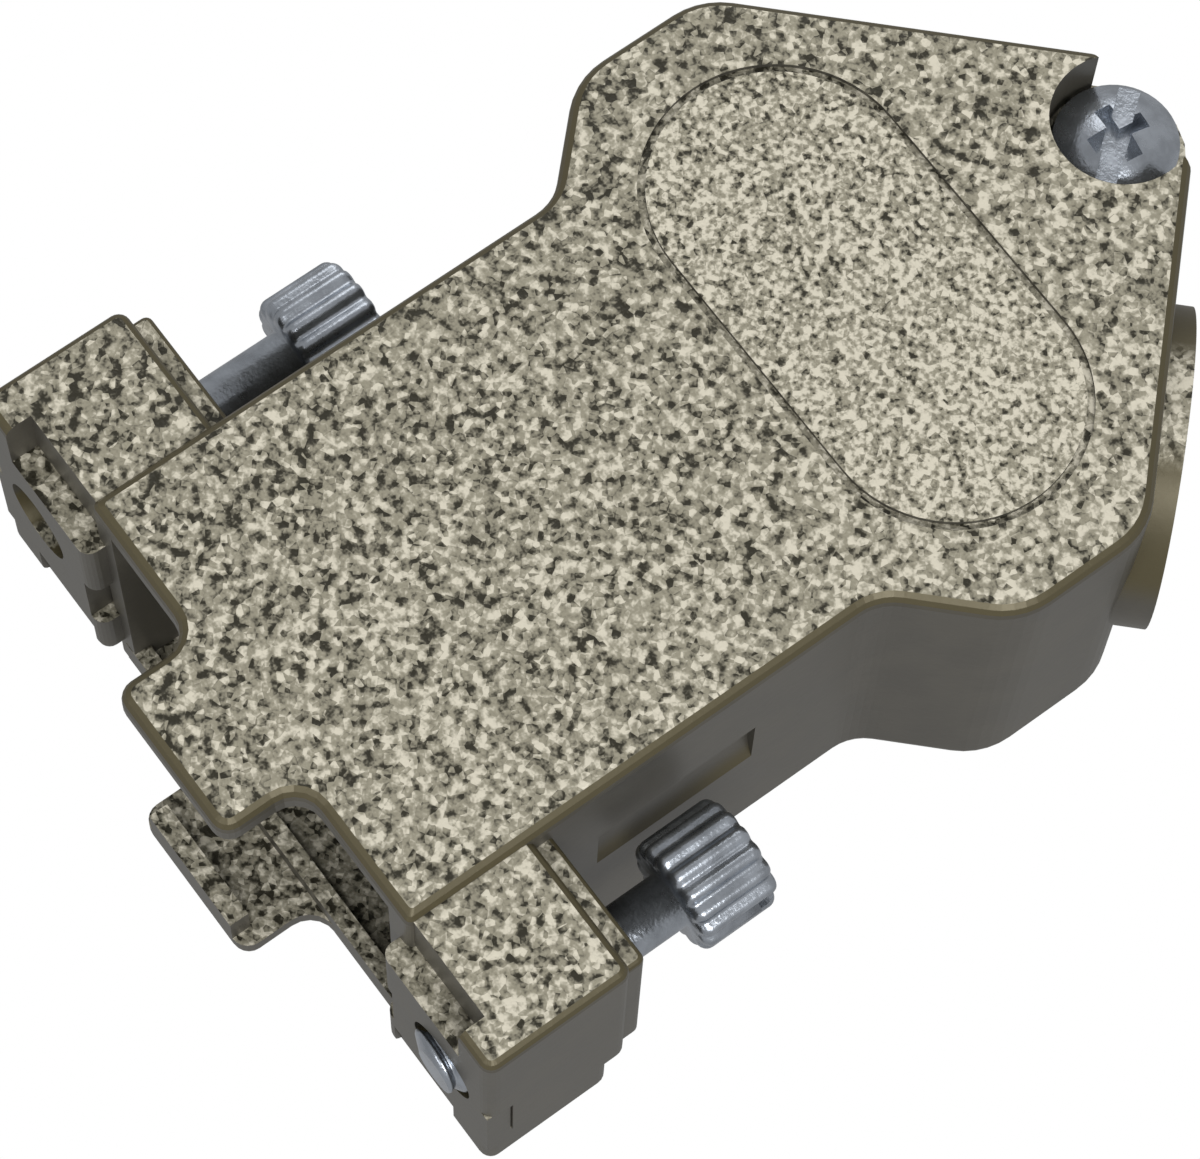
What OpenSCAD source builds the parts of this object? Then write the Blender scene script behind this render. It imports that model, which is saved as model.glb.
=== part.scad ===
// Two-part die-cast metal hood for a 9-way D-subminiature connector, with a
// 45 degree cable outlet and two captive thumb screws.
// x runs across the hood, y from the mating face to the rear, z up.
// y = 0 is the front face of the screw ears, z = 0 the underside of the hood.

/* [Body] */
// Width of the body between the ears
body_w = 19.05; // [18:0.1:20.5]
// Height of the closed hood
body_h = 14.6; // [14:0.1:16]
// Thickness of the cast walls
wall = 1.2; // [1:0.1:1.5]
// Radius of the outer long edges
edge_r = 0.6; // [0.3:0.05:0.9]
// Height of the parting line above the underside
seam_z = 4.95; // [4.4:0.05:5.4]
// How far the lower shell stands back from the upper one
seam_step = 0.08; // [0:0.01:0.15]
// Distance of the body front behind the ear faces
mouth_y = 0.84; // [0.6:0.02:1.2]

/* [Tongues] */
// Width of the two front tongues
tongue_w = 6.6; // [5:0.1:8]
// Reach of the tongues in front of the ear faces
tongue_reach = 2.4; // [1.8:0.1:3]
// Height of the hook at the front of the lower tongue, above its plate
hook_h = 1.5; // [0.8:0.1:2]
// Thickness of the hook
hook_t = 0.8; // [0.6:0.1:1.1]

/* [Head] */
// Distance of the shoulders behind the ear faces
shoulder_y = 20.9; // [19:0.1:23]
// Width across the rear head
head_w = 26.2; // [25.6:0.1:27.5]
// Distance of the virtual rear corner behind the ear faces
apex_y = 43.25; // [42.4:0.1:44.5]
// Plan radius of the head corners
head_r = 3; // [2.4:0.1:3.4]
// Plan radius of the hollow where body and head meet
hollow_r = 2; // [1:0.1:2.4]

/* [Badge field] */
// Length of the bare oval field on top
badge_l = 20.2; // [16:0.1:21]
// Width of the oval field
badge_w = 10.2; // [8:0.1:11]
// Distance of the field centre behind the ear faces
badge_y = 27.6; // [27:0.1:28.2]
// Width of the groove round the field
badge_groove = 0.3; // [0.2:0.02:0.4]
// Depth of the groove
badge_depth = 0.2; // [0.1:0.02:0.3]

/* [Ears] */
// Width over the two ears
ears_w = 30.5; // [30:0.1:31.5]
// Length of an ear from front to rear
ear_l = 6.1; // [5.9:0.1:6.6]
// How far the ear tops lie below the top of the body
ear_drop = 0.4; // [0.2:0.05:0.8]
// Height of the ear undersides
ear_z = 2.1; // [1.8:0.1:2.6]
// Thickness of the rear plate that holds the screw shank
plate_t = 0.8; // [0.6:0.05:1]
// Depth of the step in the top front edge, along y
step_y = 1.1; // [0.8:0.05:1.3]
// Height of that step
step_h = 2.6; // [1.8:0.1:2.8]
// Outer wall left standing beside the step
step_wall = 1.7; // [1.4:0.1:2]

/* [Thumb screws] */
// Distance between the two screw axes
screw_pitch = 24.99; // [24.9:0.01:25.1]
// Height of the screw axes
screw_z = 8.15; // [8:0.05:8.4]
// Diameter of the thread at the tip
thread_d = 2.84; // [2.6:0.02:3]
// Length of the thread
thread_l = 4.4; // [4:0.1:4.6]
// Diameter of the thinner shank behind the thread
shank_d = 2.2; // [2:0.05:2.4]
// Clearance round the shank, on the radius
shank_play = 0.09; // [0.05:0.01:0.1]
// Length from the tip to the knurled head
screw_reach = 10.3; // [9.8:0.1:10.6]
// Diameter of the knurled head
knob_d = 4.5; // [4.2:0.1:4.8]
// Length of the knurled head
knob_l = 3.3; // [2.8:0.1:3.6]
// How far the left tip stands behind the ear face
left_tip_y = 0.82; // [0.7:0.02:0.86]
// How far the right tip stands out of the ear face
right_tip_out = 0.46; // [0.2:0.02:0.6]

/* [Retaining rings] */
// Outer diameter of the ring on each shank
ring_d = 3.8; // [3.6:0.1:4]
// Thickness of the ring
ring_t = 0.5; // [0.4:0.05:0.6]

/* [Housing screw] */
// Diameter of the screw thread
house_d = 2.5; // [2.2:0.1:2.6]
// Diameter of the pan head
house_head_d = 4.7; // [4.4:0.1:4.9]
// Height of the pan head
house_head_h = 1.9; // [1.6:0.1:2.1]
// Distance of its axis from the two rear faces
house_inset = 2.72; // [2.5:0.02:2.9]
// Gap between head and pocket wall
pocket_gap = 0.3; // [0.2:0.05:0.4]
// Depth of the pocket below the top
pocket_depth = 2.8; // [2.4:0.1:3.2]
// Width across the flats of the nut
nut_af = 4; // [3.8:0.1:4.3]
// Thickness of the nut
nut_h = 1.6; // [1.4:0.1:1.9]

/* [Cable outlet] */
// Diameter of the outlet bore
outlet_d = 8.8; // [7:0.1:9.2]
// Outer diameter of the outlet collar
collar_d = 12; // [11.6:0.1:12.6]
// How far the collar stands out of the rear face
collar_out = 1; // [0.6:0.1:1.4]
// Distance of the outlet axis from the centre line, along the rear face
outlet_shift = 9.1; // [8.9:0.1:9.3]
// Height of the outlet axis
outlet_z = 7.3; // [7.1:0.1:7.5]

/* [Cable clamp] */
// Distance of the clamp behind the rear face, to its middle
clamp_in = 6; // [5.6:0.1:6.4]
// Width of the clamp pieces along the cable
clamp_l = 3.6; // [3:0.1:4]
// Diameter of the cable hole that the two clamp pieces leave
clamp_d = 7; // [5:0.1:7.2]
// Distance between the clamp screws
clamp_pitch = 10.4; // [10:0.1:10.6]
// Diameter of the clamp screws
clamp_screw_d = 2; // [1.8:0.1:2.2]

/* [Hidden] */
$fn = 48;
eps = 0.01;

CAST = [0.66, 0.64, 0.58];
STEEL = [0.62, 0.65, 0.68];

arc_steps = 5;
fillet_steps = 4;
body_x = body_w / 2;
head_x = head_w / 2;
ear_x = ears_w / 2;
tongue_x = tongue_w / 2;
screw_x = screw_pitch / 2;
ear_top = body_h - ear_drop;
plate_y = ear_l + plate_t;
corner_r = 0.5;

house_y = apex_y - house_inset * sqrt(2);
pocket_r = house_head_d / 2 + pocket_gap;
pocket_z = body_h - pocket_depth;
boss_r = nut_af / 2 / cos(30) + 0.9;
nut_pocket_h = nut_h + 0.5;

tip_hole_r = thread_d / 2 + 0.2;
shank_r = shank_d / 2;
shank_hole_r = shank_r + shank_play;
chamber_r = ring_d / 2 + 0.3;
front_wall = 1;
lift_gap = 0.05;

outlet_y = apex_y - outlet_shift;
outlet_r = outlet_d / 2;
clamp_seat_z = wall + 0.8;

// Shift of a straight edge a-b to its left by d, as [point, direction]
function unit(v) = v / norm(v);
function left(v) = [-v[1], v[0]];
function cross2(a, b) = a[0] * b[1] - a[1] * b[0];
function meet(p, u, q, v) = p + u * (cross2(q - p, v) / cross2(u, v));

// Corner i of the outline c, whose entries are [x, y, radius], moved inwards by d
function corner(c, i, d) =
    let(n = len(c),
        a = [c[(i + n - 1) % n][0], c[(i + n - 1) % n][1]],
        b = [c[i][0], c[i][1]],
        e = [c[(i + 1) % n][0], c[(i + 1) % n][1]],
        u = unit(b - a), v = unit(e - b))
    meet(b + left(u) * d, u, b + left(v) * d, v);

// Outline with its corners rounded: outer corners lose d of their radius, inner ones gain it
function rounded(c, d = 0) =
    let(n = len(c), p = [for (i = [0:n - 1]) corner(c, i, d)])
    [for (i = [0:n - 1])
        let(b = p[i],
            u = unit(b - p[(i + n - 1) % n]), v = unit(p[(i + 1) % n] - b),
            turn = cross2(u, v),
            r = max(0.15, turn > 0 ? c[i][2] - d : c[i][2] + d),
            half = atan2(abs(turn), u * v) / 2,
            reach = r * tan(half),
            centre = b - u * reach + left(u) * r * sign(turn),
            from = atan2(-left(u)[1] * sign(turn), -left(u)[0] * sign(turn)))
        for (k = [0:arc_steps])
            let(a = from + sign(turn) * 2 * half * k / arc_steps)
            centre + r * [cos(a), sin(a)]];

// Half outlines on the right, mirrored to the left
function both_sides(c) = concat(c,
    [for (i = [len(c) - 1:-1:0]) if (c[i][0] > 0) [-c[i][0], c[i][1], c[i][2]]]);
function rect(x0, y0, x1, y1, r) = [[x0, y0, r], [x1, y0, r], [x1, y1, r], [x0, y1, r]];

// Body plan, counter-clockwise from the tongue to the rear corner
shell_plan = both_sides([
    [tongue_x, -tongue_reach, 0.7],
    [tongue_x, mouth_y, 1.1],
    [body_x, mouth_y + 0.02, 0.3],
    [body_x, shoulder_y, hollow_r],
    [head_x, shoulder_y + head_x - body_x, head_r],
    [head_x, apex_y - head_x, head_r],
    [0, apex_y, house_inset]]);
cavity_plan = both_sides([
    [body_x - wall, -tongue_reach - 1, 0.2],
    [body_x - wall, shoulder_y + wall * 0.41, hollow_r + wall],
    [head_x - wall, shoulder_y + head_x - body_x + wall * 0.41, head_r - wall],
    [head_x - wall, apex_y - head_x - wall * 0.41, head_r - wall],
    [0, apex_y - wall * sqrt(2), 1]]);

// Solid on an outline from z0 to z1 with its upper and lower edges rounded
module cushion(c, z0, z1, low = 0, high = 0, strips = false) {
    q = 90 / fillet_steps;
    lower = low > 0 ? [for (k = [0:fillet_steps]) [low * (1 - sin(k * q)), z0 + low * (1 - cos(k * q))]]
        : [[0, z0]];
    upper = high > 0 ? [for (k = [0:fillet_steps]) [high * (1 - cos(k * q)), z1 - high * (1 - sin(k * q))]]
        : [[0, z1]];
    rings = concat(lower, upper);
    pts = [for (g = rings) for (p = rounded(c, g[0])) [p[0], p[1], g[1]]];
    n = len(rounded(c));
    m = len(rings);
    top = (m - 1) * n;
    // each end is closed in strips from side to side, because the outline has hollows
    polyhedron(pts, concat(
        strips ? [for (i = [0:n / 2 - 2]) [i, i + 1, n - 2 - i, n - 1 - i]] : [[for (i = [0:n - 1]) i]],
        strips ? [for (i = [0:n / 2 - 2]) [top + n - 1 - i, top + n - 2 - i, top + i + 1, top + i]]
            : [[for (i = [n - 1:-1:0]) top + i]],
        [for (j = [0:m - 2]) for (i = [0:n - 1])
            [j * n + i, (j + 1) * n + i, (j + 1) * n + (i + 1) % n, j * n + (i + 1) % n]]),
        convexity = 10);
}

module slab(c, z0, z1, d = 0) {
    translate([0, 0, z0])
        linear_extrude(z1 - z0) polygon(rounded(c, d));
}

module along_y(y0, y1, r, x = 0, z = 0) {
    translate([x, y0, z]) rotate([-90, 0, 0]) cylinder(h = y1 - y0, r = r);
}

module on_outlet_axis() {
    translate([outlet_shift, outlet_y, outlet_z]) rotate([0, 0, 45]) children();
}

module each_side() {
    children();
    mirror([1, 0, 0]) children();
}

// Room inside the two shells, less the column for the housing screw
module cavity(z0, z1) {
    difference() {
        slab(cavity_plan, z0, z1);
        translate([0, house_y, z0 - 1]) cylinder(h = z1 - z0 + 2, r = boss_r);
        translate([-boss_r, house_y, z0 - 1]) cube([2 * boss_r, boss_r + 2, z1 - z0 + 2]);
    }
}

// Bore through collar and rear wall
module outlet_bore() {
    on_outlet_axis() rotate([0, 90, 0]) translate([0, 0, -3]) cylinder(h = 6, r = outlet_r);
}

module collar() {
    on_outlet_axis() rotate([0, 90, 0]) translate([0, 0, -wall]) cylinder(h = wall + collar_out, d = collar_d);
}

// Room for the screw in one ear: tip hole, ring chamber and shank hole
module screw_room() {
    along_y(-1, front_wall + 1, tip_hole_r, screw_x, screw_z);
    along_y(front_wall, ear_l, chamber_r, screw_x, screw_z);
    along_y(ear_l - 1, plate_y + 1, shank_hole_r, screw_x, screw_z);
}

// Relief that lets a finger turn the knurled head beside the body
module knob_relief() {
    relief_r = screw_x - body_x + 0.35;
    along_y(left_tip_y + screw_reach - 2.2, left_tip_y + screw_reach + knob_l + 1.4, relief_r, screw_x, screw_z);
}

module upper_ear() {
    low_open = 2 * shank_hole_r;
    difference() {
        union() {
            cushion(rect(body_x - 0.6, 0, ear_x, ear_l, corner_r), seam_z, ear_top, 0, corner_r);
            cushion(rect(body_x - 0.6, ear_l - 1, ear_x - 0.35, plate_y, 0.3), seam_z, ear_top - 1, 0, 0.3);
        }
        translate([body_x - 1, -1, ear_top - step_h])
            cube([ear_x - step_wall - body_x + 1, step_y + 1, step_h + 1]);
        screw_room();
        // open way below the screw: tip, ring and shank are laid in from below
        translate([screw_x - tip_hole_r, -1, 0]) cube([2 * tip_hole_r, front_wall + 2, screw_z]);
        translate([screw_x - chamber_r, front_wall, 0]) cube([2 * chamber_r, ear_l - front_wall, screw_z]);
        translate([screw_x - low_open / 2, ear_l - 1, 0]) cube([low_open, plate_t + 2, screw_z]);
        // seat of the lower shell's front wall
        translate([body_x - 1, -1, 0]) cube([ears_w, front_wall + 1 + lift_gap, screw_z]);
    }
}

module lower_ear() {
    plan = rect(body_x - 0.6, 0, ear_x - seam_step, ear_l - 0.7, corner_r);
    post_w = 2 * (shank_hole_r - lift_gap);
    difference() {
        union() {
            cushion(plan, ear_z, seam_z, corner_r, 0);
            // front wall up to the screw axis
            translate([body_x, 0, seam_z - 1]) cube([ear_x - seam_step - body_x, front_wall, screw_z - seam_z + 1]);
            // saddle that closes the shank slot of the upper shell
            translate([screw_x - post_w / 2, ear_l - 1.2, ear_z + 0.4])
                cube([post_w, plate_t + 1, screw_z - ear_z - 0.4]);
        }
        along_y(-1, front_wall + 1, tip_hole_r, screw_x, screw_z);
        along_y(front_wall, ear_l + 0.03, chamber_r, screw_x, screw_z);
        along_y(ear_l - 2, plate_y + 1, shank_hole_r, screw_x, screw_z);
        // the front wall stands back outside the outer lip
        translate([body_x, -1, ear_z - 1]) cube([screw_x - body_x + 0.6, 1.25, 3]);
    }
}

module upper_shell() {
    color(CAST) difference() {
        union() {
            cushion(shell_plan, seam_z, body_h, 0, edge_r, true);
            intersection() {
                collar();
                translate([-50, -50, seam_z]) cube([100, 150, body_h]);
            }
            each_side() upper_ear();
        }
        cavity(seam_z - 1, body_h - wall);
        outlet_bore();
        each_side() knob_relief();
        // pocket for the screw head, open to the rear
        translate([0, house_y, pocket_z]) cylinder(h = pocket_depth + 1, r = pocket_r);
        translate([-pocket_r * 1.3, house_y + pocket_r * 0.35, pocket_z]) cube([pocket_r * 2.6, 6, pocket_depth + 1]);
        translate([0, house_y, 0]) cylinder(h = body_h, d = house_d + 0.3);
        badge_outline();
    }
}

// Groove round the bare oval field
module badge_outline() {
    straight = badge_l - badge_w;
    module oval(d) {
        for (s = [-1, 1]) translate([s * straight / 2, 0]) circle(d = d);
        translate([-straight / 2, -d / 2]) square([straight, d]);
    }
    translate([0, badge_y, body_h - badge_depth]) linear_extrude(1) difference() {
        oval(badge_w);
        oval(badge_w - 2 * badge_groove);
    }
}

module lower_shell() {
    color(CAST) difference() {
        union() {
            difference() {
                cushion(shell_plan, 0, seam_z, edge_r, 0, true);
                cavity(wall, seam_z + 1);
            }
            intersection() {
                collar();
                translate([-50, -50, 0]) cube([100, 150, seam_z]);
            }
            // hook along the front of the lower tongue
            translate([-tongue_x + 0.7, -tongue_reach, wall / 2]) cube([tongue_w - 1.4, hook_t, wall / 2 + hook_h]);
            // rib across the mouth
            translate([-body_x + wall / 2, mouth_y, wall / 2]) cube([body_w - wall, 0.7, wall / 2 + 0.9]);
            // column of the housing screw
            intersection() {
                translate([0, house_y, 0.3]) cylinder(h = seam_z - 0.3, r = boss_r);
                slab(shell_plan, 0, seam_z, 0.4);
            }
            each_side() lower_ear();
            clamp_seats();
        }
        outlet_bore();
        translate([0, house_y, -1]) cylinder(h = body_h, d = house_d + 0.3);
        translate([0, house_y, -1]) cylinder(h = nut_pocket_h + 1, d = nut_af / cos(30) + 0.2, $fn = 6);
        clamp_screw_holes();
    }
}

// Two pads in the floor that carry the clamp saddle
module clamp_seats() {
    on_outlet_axis() for (s = [-1, 1])
        translate([-clamp_in, s * clamp_pitch / 2, wall / 2 - outlet_z])
            cylinder(h = clamp_seat_z - wall / 2, r = clamp_screw_d / 2 + 0.9);
}

module clamp_screw_holes() {
    on_outlet_axis() for (s = [-1, 1])
        translate([-clamp_in, s * clamp_pitch / 2, 0.5 - outlet_z])
            cylinder(h = seam_z, d = clamp_screw_d + 0.1);
}

// Screw with knurled head; tip_y is where its threaded end lies
module jackscrew(x, tip_y) {
    flutes = 16;
    head_y = tip_y + screw_reach;
    relief_d = shank_d - 0.5;
    color(STEEL) translate([x, 0, screw_z]) difference() {
        rotate([-90, 0, 0]) rotate_extrude() polygon([
            [0, tip_y], [thread_d / 2 - 0.35, tip_y], [thread_d / 2, tip_y + 0.35],
            [thread_d / 2, tip_y + thread_l], [shank_r, tip_y + thread_l + 0.2],
            [shank_r, head_y], [knob_d / 2 - 0.4, head_y], [knob_d / 2, head_y + 0.4],
            [knob_d / 2, head_y + knob_l - 0.5], [knob_d / 2 - 0.5, head_y + knob_l],
            [0, head_y + knob_l]]);
        for (k = [0:flutes - 1]) rotate([0, (k + 0.5) * 360 / flutes, 0])
            translate([knob_d / 2 + 0.12, head_y - 1, 0]) rotate([-90, 0, 0])
                cylinder(h = knob_l + 2, r = 0.36, $fn = 24);
        translate([-knob_d, head_y + knob_l - 0.9, -0.55]) cube([2 * knob_d, 2, 1.1]);
    }
}

module left_jackscrew() {
    jackscrew(-screw_x, left_tip_y);
}

module right_jackscrew() {
    jackscrew(screw_x, -right_tip_out);
}

// Snap ring behind the thread, open on its lower side
module retaining_ring(x, tip_y) {
    y0 = tip_y + thread_l + 0.25;
    color(STEEL) difference() {
        along_y(y0, y0 + ring_t, ring_d / 2, x, screw_z);
        along_y(y0 - 1, y0 + ring_t + 1, shank_r + 0.03, x, screw_z);
        translate([x - shank_r * 0.7, y0 - 1, screw_z - ring_d]) cube([shank_r * 1.4, ring_t + 2, ring_d]);
    }
}

module left_retaining_ring() {
    retaining_ring(-screw_x, left_tip_y);
}

module right_retaining_ring() {
    retaining_ring(screw_x, -right_tip_out);
}

// Pan head screw with a combined slot and cross recess
module housing_screw() {
    head_r2 = house_head_d / 2;
    color(STEEL) translate([0, house_y, 0]) difference() {
        union() {
            translate([0, 0, 0.4]) cylinder(h = pocket_z - 0.4 + eps, d = house_d);
            translate([0, 0, pocket_z]) rotate_extrude() intersection() {
                square([head_r2, house_head_h]);
                translate([0, house_head_h - head_r2 * 1.5]) circle(r = head_r2 * 1.5);
            }
        }
        rotate([0, 0, -52]) {
            translate([-head_r2 - 1, -0.4, pocket_z + house_head_h - 0.75]) cube([house_head_d + 2, 0.8, 2]);
            for (a = [45, 135]) rotate([0, 0, a])
                translate([-1.15, -0.33, pocket_z + house_head_h - 1.2]) cube([2.3, 0.66, 2]);
        }
    }
}

module housing_nut() {
    color(STEEL) translate([0, house_y, nut_pocket_h - nut_h]) difference() {
        cylinder(h = nut_h, d = nut_af / cos(30), $fn = 6);
        translate([0, 0, -1]) cylinder(h = nut_h + 2, d = house_d + 0.06);
    }
}

// Half clamp: a bar with a half-round saddle and two screw holes
module clamp_half(z0, z1, hole_d) {
    bar_w = clamp_pitch + 4;
    on_outlet_axis() difference() {
        translate([-clamp_in - clamp_l / 2, -bar_w / 2, z0 - outlet_z]) cube([clamp_l, bar_w, z1 - z0]);
        rotate([0, 90, 0]) translate([0, 0, -clamp_in - clamp_l]) cylinder(h = 2 * clamp_l, d = clamp_d);
        for (s = [-1, 1]) translate([-clamp_in, s * clamp_pitch / 2, -outlet_z])
            cylinder(h = body_h, d = hole_d);
    }
}

module clamp_saddle() {
    color(STEEL) clamp_half(clamp_seat_z, outlet_z - 0.4, clamp_screw_d + 0.1);
}

module clamp_strap() {
    color(STEEL) clamp_half(outlet_z + 0.4, outlet_z + clamp_d / 2 + 1, clamp_screw_d + 0.2);
}

module clamp_screw(s) {
    top = outlet_z + clamp_d / 2 + 1;
    color(STEEL) on_outlet_axis() translate([-clamp_in, s * clamp_pitch / 2, -outlet_z]) difference() {
        union() {
            translate([0, 0, wall + 0.1]) cylinder(h = top - wall, d = clamp_screw_d);
            translate([0, 0, top]) cylinder(h = 1.2, d = clamp_screw_d * 1.9);
        }
        translate([-clamp_screw_d, -0.25, top + 0.6]) cube([2 * clamp_screw_d, 0.5, 1]);
    }
}

module clamp_screw_left() {
    clamp_screw(1);
}

module clamp_screw_right() {
    clamp_screw(-1);
}

upper_shell();
lower_shell();
left_jackscrew();
right_jackscrew();
left_retaining_ring();
right_retaining_ring();
housing_screw();
housing_nut();
clamp_saddle();
clamp_strap();
clamp_screw_left();
clamp_screw_right();
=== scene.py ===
"""Looks of a two-part die-cast hood for a 9-way D-subminiature connector."""

import math

import bpy
from mathutils import Matrix, Vector


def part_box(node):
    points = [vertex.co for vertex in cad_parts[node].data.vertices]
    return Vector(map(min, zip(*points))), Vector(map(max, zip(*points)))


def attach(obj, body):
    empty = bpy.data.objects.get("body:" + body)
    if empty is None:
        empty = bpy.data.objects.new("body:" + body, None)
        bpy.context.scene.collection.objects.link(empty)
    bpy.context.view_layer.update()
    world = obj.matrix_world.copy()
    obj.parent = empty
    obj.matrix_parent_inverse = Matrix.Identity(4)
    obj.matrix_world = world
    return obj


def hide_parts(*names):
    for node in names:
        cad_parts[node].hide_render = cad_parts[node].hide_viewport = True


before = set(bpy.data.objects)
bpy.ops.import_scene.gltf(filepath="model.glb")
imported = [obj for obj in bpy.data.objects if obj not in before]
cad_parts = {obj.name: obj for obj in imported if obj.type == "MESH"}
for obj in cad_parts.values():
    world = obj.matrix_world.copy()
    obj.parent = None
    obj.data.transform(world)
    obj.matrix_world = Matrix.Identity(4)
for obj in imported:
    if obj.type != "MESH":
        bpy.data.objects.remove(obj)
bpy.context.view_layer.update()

bl_info = {
    "name": "D-sub hood looks",
    "version": (1, 0, 0),
    "blender": (4, 2, 0),
    "location": "View3D > Sidebar > Hood",
    "description": "Finishes and fine shapes of a cast connector hood",
    "category": "Object",
}

MM = 0.001
SCREWS = {"left": "left_jackscrew", "right": "right_jackscrew"}

# How finely a thumb screw's surface is divided
AROUND_SCREW = 128
THREAD_STEPS = 70
FRONT_ROUNDING_STEPS = 6
REAR_ROUNDING_STEPS = 8

# Glow of floor and surroundings: what the camera sees, and what lights the hood
SEEN_WHITE = 1.0
FLOOR_GLOW = 0.45
SKY_GLOW = 0.5

# Where the lens looks, how it is turned, and how far away it stands
LOOK_AT = Vector((2.056, 14.967, 7.5)) * MM
LENS_TURN = (50.265, 68.42, 3.416)
LENS_DISTANCE = 163.857 * MM
LENS_LENGTH = 135.78
LENS_SHIFT = (-0.0074, 0.0203)
SENSOR_WIDTH = 36


def screen(red, green, blue):
    """A colour as seen on a screen, 0 to 255, as linear light."""
    return tuple(
        (c / 255 / 12.92) if c <= 10 else ((c / 255 + 0.055) / 1.055) ** 2.4
        for c in (red, green, blue)
    )


def colour(name, value):
    return bpy.props.FloatVectorProperty(
        name=name,
        description=f"{name}, linear",
        default=value,
        subtype="COLOR",
        size=3,
        min=0,
        max=1,
    )


def length(name, millimetres):
    return bpy.props.FloatProperty(
        name=name,
        description=f"{name}, in metres",
        default=millimetres * MM,
        unit="LENGTH",
        precision=5,
    )


class HoodSettings(bpy.types.PropertyGroup):
    """Sizes and colours of the hood's finishes."""

    grain: length("Grain of the cast top", 0.42)
    fine_grain: length("Grain inside the oval field", 0.26)
    field_length: length("Length of the oval field", 20.2)
    field_width: length("Width of the oval field", 10.2)
    field_place: length("Oval field behind the ear fronts", 27.6)
    groove_inner: length("Oval field's edge to the groove's inner side", 0.3)
    groove_outer: length("Oval field's edge to where the grain changes", 0.2)
    thread_radius: length("Outer radius of the thread", 1.42)
    thread_chamfer: length("Chamfer of the thread's tip", 0.35)
    thread_runout: length("Length of the slope from thread to shank", 0.25)
    thread_pitch: length("Pitch of the thread", 0.635)
    thread_depth: length("Depth of the thread", 0.36)
    thread_length: length("Length of the thread", 4.4)
    screw_reach: length("Tip to knurled head", 10.3)
    shank_radius: length("Radius of the shank", 1.1)
    flute_depth: length("Depth of the flutes in the knurled head", 0.24)
    knob_rounding: length("Rounding of the knurled head's edges", 0.4)
    slot_width: length("Width of the slot in the knurled head", 1.1)
    slot_depth: length("Depth of the slot in the knurled head", 0.9)
    flutes: bpy.props.IntProperty(
        name="Flutes", description="Number of flutes round the knurled head", default=16
    )
    grain_light: colour("Light grains", screen(214, 208, 190))
    grain_middle: colour("Middle grains", screen(150, 145, 127))
    grain_dark: colour("Dark grains", screen(44, 41, 28))
    # Rounded edges: a darker copy of the cast metal's colour, painted shade
    shaded_edge_band: colour("Rounded edges", screen(84, 77, 54))
    # Side walls: a darker copy of the cast metal's colour, painted shade; the mottle mixed into it is
    # the metal's own uneven tone
    shaded_side_wall: colour("Side walls", screen(84, 81, 73))
    zinc: colour("Zinc plating", screen(176, 182, 190))
    clamp_metal: colour("Clamp metal", screen(120, 120, 118))


class Wire:
    """A shader output that can be used in sums and products."""

    def __init__(self, tree, socket):
        self.tree = tree
        self.socket = socket

    def _math(self, operation, *others):
        node = self.tree.nodes.new("ShaderNodeMath")
        node.operation = operation
        for index, item in enumerate((self, *others)):
            if isinstance(item, Wire):
                self.tree.links.new(item.socket, node.inputs[index])
            else:
                node.inputs[index].default_value = item
        return Wire(self.tree, node.outputs[0])

    def _flipped(self, operation, other):
        node = self.tree.nodes.new("ShaderNodeMath")
        node.operation = operation
        node.inputs[0].default_value = other
        self.tree.links.new(self.socket, node.inputs[1])
        return Wire(self.tree, node.outputs[0])

    def __add__(self, other):
        return self._math("ADD", other)

    __radd__ = __add__

    def __sub__(self, other):
        return self._math("SUBTRACT", other)

    def __rsub__(self, other):
        return self._flipped("SUBTRACT", other)

    def __mul__(self, other):
        return self._math("MULTIPLY", other)

    __rmul__ = __mul__

    def __truediv__(self, other):
        return self._math("DIVIDE", other)

    def __abs__(self):
        return self._math("ABSOLUTE")

    def power(self, other):
        return self._math("POWER", other)

    def at_least(self, other):
        return self._math("MAXIMUM", other)

    def ramp(self, low, high):
        """0 below low, 1 above high, smooth between them."""
        node = self.tree.nodes.new("ShaderNodeMapRange")
        node.interpolation_type = "SMOOTHSTEP"
        self.tree.links.new(self.socket, node.inputs["Value"])
        node.inputs["From Min"].default_value = low
        node.inputs["From Max"].default_value = high
        return Wire(self.tree, node.outputs["Result"])


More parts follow.
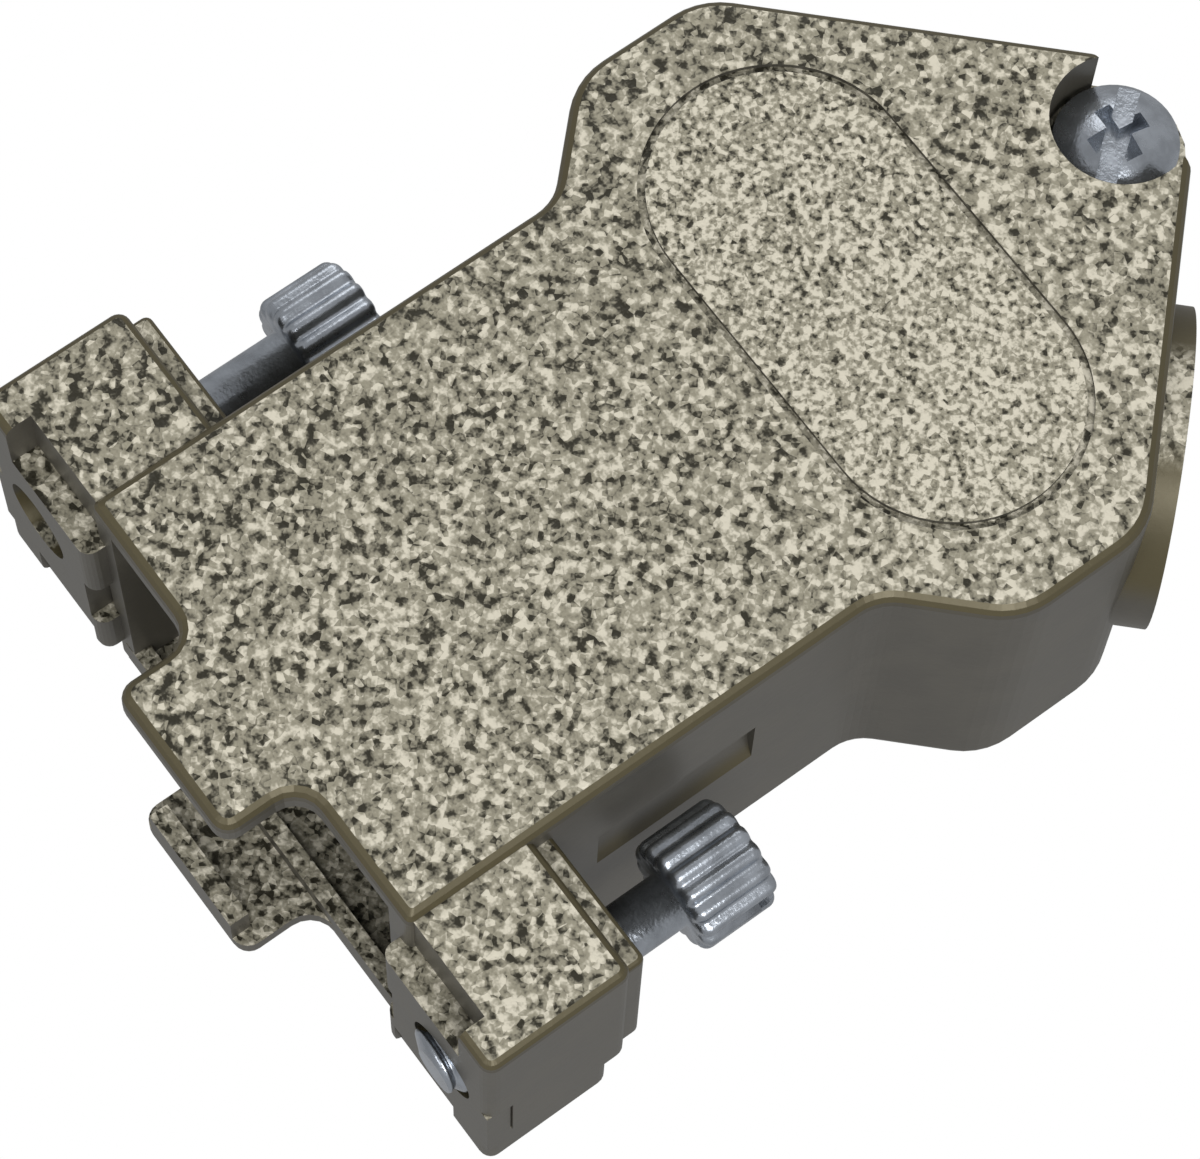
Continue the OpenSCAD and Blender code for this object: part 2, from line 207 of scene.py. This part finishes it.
class Finish:
    """One material and the nodes that colour it."""

    def __init__(self, name, metallic, roughness):
        self.material = bpy.data.materials.new(name)
        self.material.use_nodes = True
        self.tree = self.material.node_tree
        self.shader = self.tree.nodes["Principled BSDF"]
        self.shader.inputs["Metallic"].default_value = metallic
        self.shader.inputs["Roughness"].default_value = roughness
        place = self.node("ShaderNodeTexCoord")
        self.place = place.outputs["Object"]
        split = self.node("ShaderNodeSeparateXYZ", Vector=self.place)
        self.x, self.y, self.z = (Wire(self.tree, split.outputs[i]) for i in range(3))
        facing = self.node("ShaderNodeSeparateXYZ", Vector=place.outputs["Normal"])
        self.up = Wire(self.tree, facing.outputs[2])

    def node(self, kind, settings=(), **inputs):
        """Makes a node: its settings first, then its values and links."""
        made = self.tree.nodes.new(kind)
        for key, value in dict(settings).items():
            setattr(made, key, value)
        for key, value in inputs.items():
            socket = made.inputs[key.replace("_", " ")]
            if isinstance(value, Wire):
                self.tree.links.new(value.socket, socket)
            elif isinstance(value, bpy.types.NodeSocket):
                self.tree.links.new(value, socket)
            else:
                socket.default_value = value
        return made

    def noise(self, size, detail=2.0, roughness=0.5):
        made = self.node(
            "ShaderNodeTexNoise", Vector=self.place, Scale=1 / size, Detail=detail, Roughness=roughness
        )
        return Wire(self.tree, made.outputs[0])

    def cells(self, size):
        made = self.node("ShaderNodeTexVoronoi", Vector=self.place, Scale=1 / size)
        split = self.node("ShaderNodeSeparateColor", Color=made.outputs["Color"])
        return Wire(self.tree, split.outputs[0])

    def mix(self, amount, low, high):
        """Colour low where amount is 0, high where it is 1."""
        made = self.node("ShaderNodeMix", {"data_type": "RGBA"})
        self.tree.links.new(amount.socket, made.inputs[0])
        for index, value in ((6, low), (7, high)):
            if isinstance(value, bpy.types.NodeSocket):
                self.tree.links.new(value, made.inputs[index])
            else:
                made.inputs[index].default_value = (*value, 1)
        return made.outputs[2]

    def colour(self, socket):
        self.tree.links.new(socket, self.shader.inputs["Base Color"])

    def roughness(self, wire):
        self.tree.links.new(wire.socket, self.shader.inputs["Roughness"])

    def relief(self, height, depth):
        bump = self.node("ShaderNodeBump", Strength=1.0, Distance=depth, Height=height)
        self.tree.links.new(bump.outputs[0], self.shader.inputs["Normal"])


def cast_metal(settings):
    """Nickel-plated zinc casting: sparkling grain on top, satin sides; the sides and rounded edges also
    carry painted shade, darker the further they turn from up.
    """
    finish = Finish("cast_metal", metallic=0.35, roughness=0.42)
    straight = (settings.field_length - settings.field_width) / 2
    across = (abs(finish.x) - straight).at_least(0.0)
    along = finish.y - settings.field_place
    from_middle = (across * across + along * along).power(0.5)
    field_radius = settings.field_width / 2
    inside = 1 - from_middle.ramp(
        field_radius - settings.groove_inner, field_radius - settings.groove_outer
    )
    coarse = finish.noise(settings.grain, detail=2.5, roughness=0.6)
    fine = finish.noise(settings.fine_grain, detail=2.0, roughness=0.55)
    sparks = finish.cells(settings.grain * 0.6)
    grain = (coarse * (1 - inside) + fine * inside) * 0.8 + sparks * 0.22
    # Grain gets lighter towards +X and towards the rear: a painted light falloff across the top
    painted_light_drift = (finish.x + finish.y * 0.3) / 0.03
    level = grain + painted_light_drift * 0.05 + inside * 0.04
    top = finish.mix(level.ramp(0.36, 0.52), settings.grain_dark, settings.grain_middle)
    top = finish.mix(level.ramp(0.52, 0.68), top, settings.grain_light)
    soft = finish.noise(2.4 * MM, detail=3.0)
    # Side walls darker than the top because they face sideways: painted shade, with the real satin
    # mottle from soft noise
    side = finish.mix(soft.ramp(0.35, 0.65), [c * 0.86 for c in settings.shaded_side_wall], settings.shaded_side_wall)
    # Rounded edges take their darker colour where the surface tilts from up: painted shade on the
    # fillets
    band = finish.up.ramp(0.12, 0.4)
    flat = finish.up.ramp(0.9, 0.985)
    finish.colour(finish.mix(flat, finish.mix(band, side, settings.shaded_edge_band), top))
    finish.roughness(0.38 + grain * 0.22 * flat + soft * 0.08)
    finish.relief(grain * (flat * 0.9 + 0.06), 0.12 * MM)
    return finish.material


def plated_steel(name, tint, roughness):
    """Bright plated steel with faint turning marks."""
    finish = Finish(name, metallic=0.92, roughness=roughness)
    cloud = finish.noise(1.1 * MM, detail=4.0, roughness=0.6)
    finish.colour(finish.mix(cloud.ramp(0.3, 0.7), [c * 0.72 for c in tint], tint))
    finish.roughness(cloud * 0.2 + (roughness - 0.08))
    finish.relief(finish.noise(0.14 * MM, detail=2.0), 0.012 * MM)
    return finish.material


def screw_profile(settings, knob_radius, knob_length):
    """Stations of a thumb screw: place from the tip, radius, thread depth, share of flutes."""
    rows = []
    radius = settings.thread_radius
    for step in range(THREAD_STEPS + 1):
        at = settings.thread_length * step / THREAD_STEPS
        rows.append((at, min(radius, radius - settings.thread_chamfer + at), settings.thread_depth, 0.0))
    head = settings.screw_reach
    for at in (settings.thread_length + settings.thread_runout, head):
        rows.append((at, settings.shank_radius, 0.0, 0.0))
    rounding = settings.knob_rounding
    for step in range(FRONT_ROUNDING_STEPS + 1):
        turn = math.pi / 2 * step / FRONT_ROUNDING_STEPS
        at = head + rounding * (1 - math.cos(turn))
        rows.append((at, knob_radius - rounding * (1 - math.sin(turn)), 0.0, 1.0))
    for step in range(REAR_ROUNDING_STEPS + 1):
        turn = math.pi / 2 * step / REAR_ROUNDING_STEPS
        at = head + knob_length - rounding * (1 - math.sin(turn))
        rows.append((at, knob_radius - rounding * (1 - math.cos(turn)), 0.0, 1.0))
    return rows


def screw_point(settings, row, share, centre, tip):
    """One point of a thumb screw: row is its station, share how far round it lies."""
    at, radius, thread, fluted = row
    turn = 2 * math.pi * share
    phase = (at / settings.thread_pitch - share) % 1
    cut = thread * max(0.0, 1 - abs(2 * phase - 1) * 1.25)
    wave = (0.5 - 0.5 * math.cos(settings.flutes * turn)) ** 1.6
    here = radius - cut - fluted * settings.flute_depth * wave
    return (centre.x + here * math.cos(turn), tip + at, centre.z + here * math.sin(turn))


def screw_faces(count):
    """Faces of a closed tube of count rings."""
    faces = []
    for row in range(count - 1):
        first, second = row * AROUND_SCREW, (row + 1) * AROUND_SCREW
        for step in range(AROUND_SCREW):
            other = (step + 1) % AROUND_SCREW
            faces.append((first + step, second + step, second + other, first + other))
    faces.append(tuple(range(AROUND_SCREW)))
    faces.append(tuple((count - 1) * AROUND_SCREW + step for step in reversed(range(AROUND_SCREW))))
    return faces


def thumb_screw(settings, name, node):
    """A thumb screw along +Y with a real thread and a fluted head."""
    low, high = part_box(node)
    centre = (low + high) / 2
    knob_radius = (high.x - low.x) / 2
    knob_length = high.y - low.y - settings.screw_reach
    rows = screw_profile(settings, knob_radius, knob_length)
    points = [
        screw_point(settings, row, step / AROUND_SCREW, centre, low.y)
        for row in rows
        for step in range(AROUND_SCREW)
    ]
    mesh = bpy.data.meshes.new(name)
    mesh.from_pydata(points, [], screw_faces(len(rows)))
    mesh.validate()
    screw = bpy.data.objects.new(name, mesh)
    bpy.context.scene.collection.objects.link(screw)
    cut_slot(screw, Vector((centre.x, high.y, centre.z)), settings, knob_radius)
    for polygon in screw.data.polygons:
        polygon.use_smooth = len(polygon.vertices) == 4
    return screw


def cut_slot(screw, end, settings, knob_radius):
    """Cuts the screwdriver slot into the knurled head's end."""
    bpy.ops.mesh.primitive_cube_add(size=1)
    cutter = bpy.context.object
    size = Vector((knob_radius * 3, settings.slot_depth * 2, settings.slot_width))
    cutter.matrix_world = Matrix.Translation(end) @ Matrix.Diagonal((*size, 1))
    bpy.context.view_layer.update()
    cut = screw.modifiers.new("slot", "BOOLEAN")
    cut.operation = "DIFFERENCE"
    cut.solver = "EXACT"
    cut.object = cutter
    with bpy.context.temp_override(object=screw, active_object=screw):
        bpy.ops.object.modifier_apply(modifier="slot")
    bpy.data.objects.remove(cutter)


def show_with(obj, material):
    obj.data.materials.clear()
    obj.data.materials.append(material)


class HOOD_OT_shells(bpy.types.Operator):
    """Gives both cast shells their grain"""

    bl_idname = "hood.shells"
    bl_label = "Cast shells"

    def execute(self, context):
        metal = cast_metal(context.scene.hood)
        for node in ("upper_shell", "lower_shell"):
            show_with(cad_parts[node], metal)
        return {"FINISHED"}


class HOOD_OT_thumb_screws(bpy.types.Operator):
    """Makes the two thumb screws with threads and flutes"""

    bl_idname = "hood.thumb_screws"
    bl_label = "Thumb screws"

    def execute(self, context):
        settings = context.scene.hood
        zinc = plated_steel("thumb_screw_zinc", settings.zinc, 0.27)
        for side, node in SCREWS.items():
            screw = thumb_screw(settings, f"{side}_thumb_screw", node)
            show_with(screw, zinc)
            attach(screw, f"{side}_screw")
            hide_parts(node)
            show_with(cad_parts[f"{side}_retaining_ring"], zinc)
        return {"FINISHED"}


class HOOD_OT_fasteners(bpy.types.Operator):
    """Finishes the housing screw, its nut and the inner clamp"""

    bl_idname = "hood.fasteners"
    bl_label = "Screws and clamp"

    def execute(self, context):
        settings = context.scene.hood
        zinc = plated_steel("fastener_zinc", settings.zinc, 0.24)
        plain = plated_steel("clamp_metal", settings.clamp_metal, 0.4)
        for node in ("housing_screw", "housing_nut", "clamp_screw_left", "clamp_screw_right"):
            show_with(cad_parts[node], zinc)
        for node in ("clamp_saddle", "clamp_strap"):
            show_with(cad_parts[node], plain)
        return {"FINISHED"}


class HOOD_OT_stage(bpy.types.Operator):
    """Sets up floor, light and camera"""

    bl_idname = "hood.stage"
    bl_label = "Stage"

    def execute(self, context):
        scene = context.scene
        scene.view_settings.view_transform = "Standard"
        lay_floor()
        white_surroundings(scene)
        area_light("key", Vector((0.34, -0.10, 0.36)), 0.22, 1.5)
        area_light("fill", Vector((-0.30, 0.25, 0.32)), 0.30, 0.55)
        area_light("front", Vector((0.05, -0.40, 0.20)), 0.20, 0.45)
        scene.camera = long_lens_camera()
        return {"FINISHED"}


def glow(tree, outside, camera):
    """Emission of one strength for the camera and another for the rest."""
    path = tree.nodes.new("ShaderNodeLightPath")
    return Wire(tree, path.outputs["Is Camera Ray"]) * (camera - outside) + outside


def lay_floor():
    bpy.ops.mesh.primitive_plane_add(size=6, location=(0, 0, -0.02 * MM))
    floor = bpy.context.object
    floor.name = "floor"
    paint = bpy.data.materials.new("floor_white")
    paint.use_nodes = True
    shader = paint.node_tree.nodes["Principled BSDF"]
    shader.inputs["Base Color"].default_value = (0.0, 0.0, 0.0, 1)
    shader.inputs["Roughness"].default_value = 1.0
    shader.inputs["Specular IOR Level"].default_value = 0.0
    shader.inputs["Emission Strength"].default_value = 1.0
    level = glow(paint.node_tree, FLOOR_GLOW, SEEN_WHITE)
    mix = paint.node_tree.nodes.new("ShaderNodeCombineColor")
    for index in range(3):
        paint.node_tree.links.new(level.socket, mix.inputs[index])
    paint.node_tree.links.new(mix.outputs[0], shader.inputs["Emission Color"])
    floor.data.materials.append(paint)


def white_surroundings(scene):
    world = bpy.data.worlds.new("white")
    scene.world = world
    world.use_nodes = True
    background = world.node_tree.nodes["Background"]
    background.inputs["Color"].default_value = (1, 1, 1, 1)
    level = glow(world.node_tree, SKY_GLOW, SEEN_WHITE)
    world.node_tree.links.new(level.socket, background.inputs["Strength"])


def area_light(name, place, size, watts):
    lamp = bpy.data.lights.new(name, "AREA")
    lamp.size = size
    lamp.energy = watts
    holder = bpy.data.objects.new(name, lamp)
    holder.location = place
    holder.rotation_euler = (place - Vector((0, 0.02, 0))).to_track_quat("Z", "Y").to_euler()
    bpy.context.scene.collection.objects.link(holder)


def long_lens_camera():
    """A long lens from above the right ear."""
    azimuth, elevation, roll = (math.radians(a) for a in LENS_TURN)
    flat = math.cos(elevation)
    away = Vector((math.sin(azimuth) * flat, -math.cos(azimuth) * flat, math.sin(elevation)))
    level = Vector((math.cos(azimuth), math.sin(azimuth), 0))
    upward = away.cross(level)
    right = level * math.cos(roll) + upward * math.sin(roll)
    up = upward * math.cos(roll) - level * math.sin(roll)
    lens = bpy.data.cameras.new("camera")
    lens.sensor_width = SENSOR_WIDTH
    lens.lens = LENS_LENGTH
    lens.shift_x, lens.shift_y = LENS_SHIFT
    lens.clip_start = 0.01
    camera = bpy.data.objects.new("camera", lens)
    turn = Matrix((right, up, away)).transposed().to_4x4()
    camera.matrix_world = Matrix.Translation(LOOK_AT + away * LENS_DISTANCE) @ turn
    bpy.context.scene.collection.objects.link(camera)
    return camera


class HOOD_PT_panel(bpy.types.Panel):
    """Buttons for each part of the look"""

    bl_label = "D-sub hood"
    bl_idname = "HOOD_PT_panel"
    bl_space_type = "VIEW_3D"
    bl_region_type = "UI"
    bl_category = "Hood"

    def draw(self, context):
        for operator in OPERATORS:
            self.layout.operator(operator.bl_idname)
        for name in HoodSettings.__annotations__:
            self.layout.prop(context.scene.hood, name)


OPERATORS = (HOOD_OT_shells, HOOD_OT_thumb_screws, HOOD_OT_fasteners, HOOD_OT_stage)
CLASSES = (HoodSettings, *OPERATORS, HOOD_PT_panel)


def register():
    for item in CLASSES:
        bpy.utils.register_class(item)
    bpy.types.Scene.hood = bpy.props.PointerProperty(type=HoodSettings)


def unregister():
    del bpy.types.Scene.hood
    for item in reversed(CLASSES):
        bpy.utils.unregister_class(item)


def plain(bounds):
    return [[float(value) for value in corner] for corner in bounds]


def main():
    register()
    bpy.ops.hood.shells()
    bpy.ops.hood.thumb_screws()
    bpy.ops.hood.fasteners()
    bpy.ops.hood.stage()


if __name__ == "__main__":
    main()
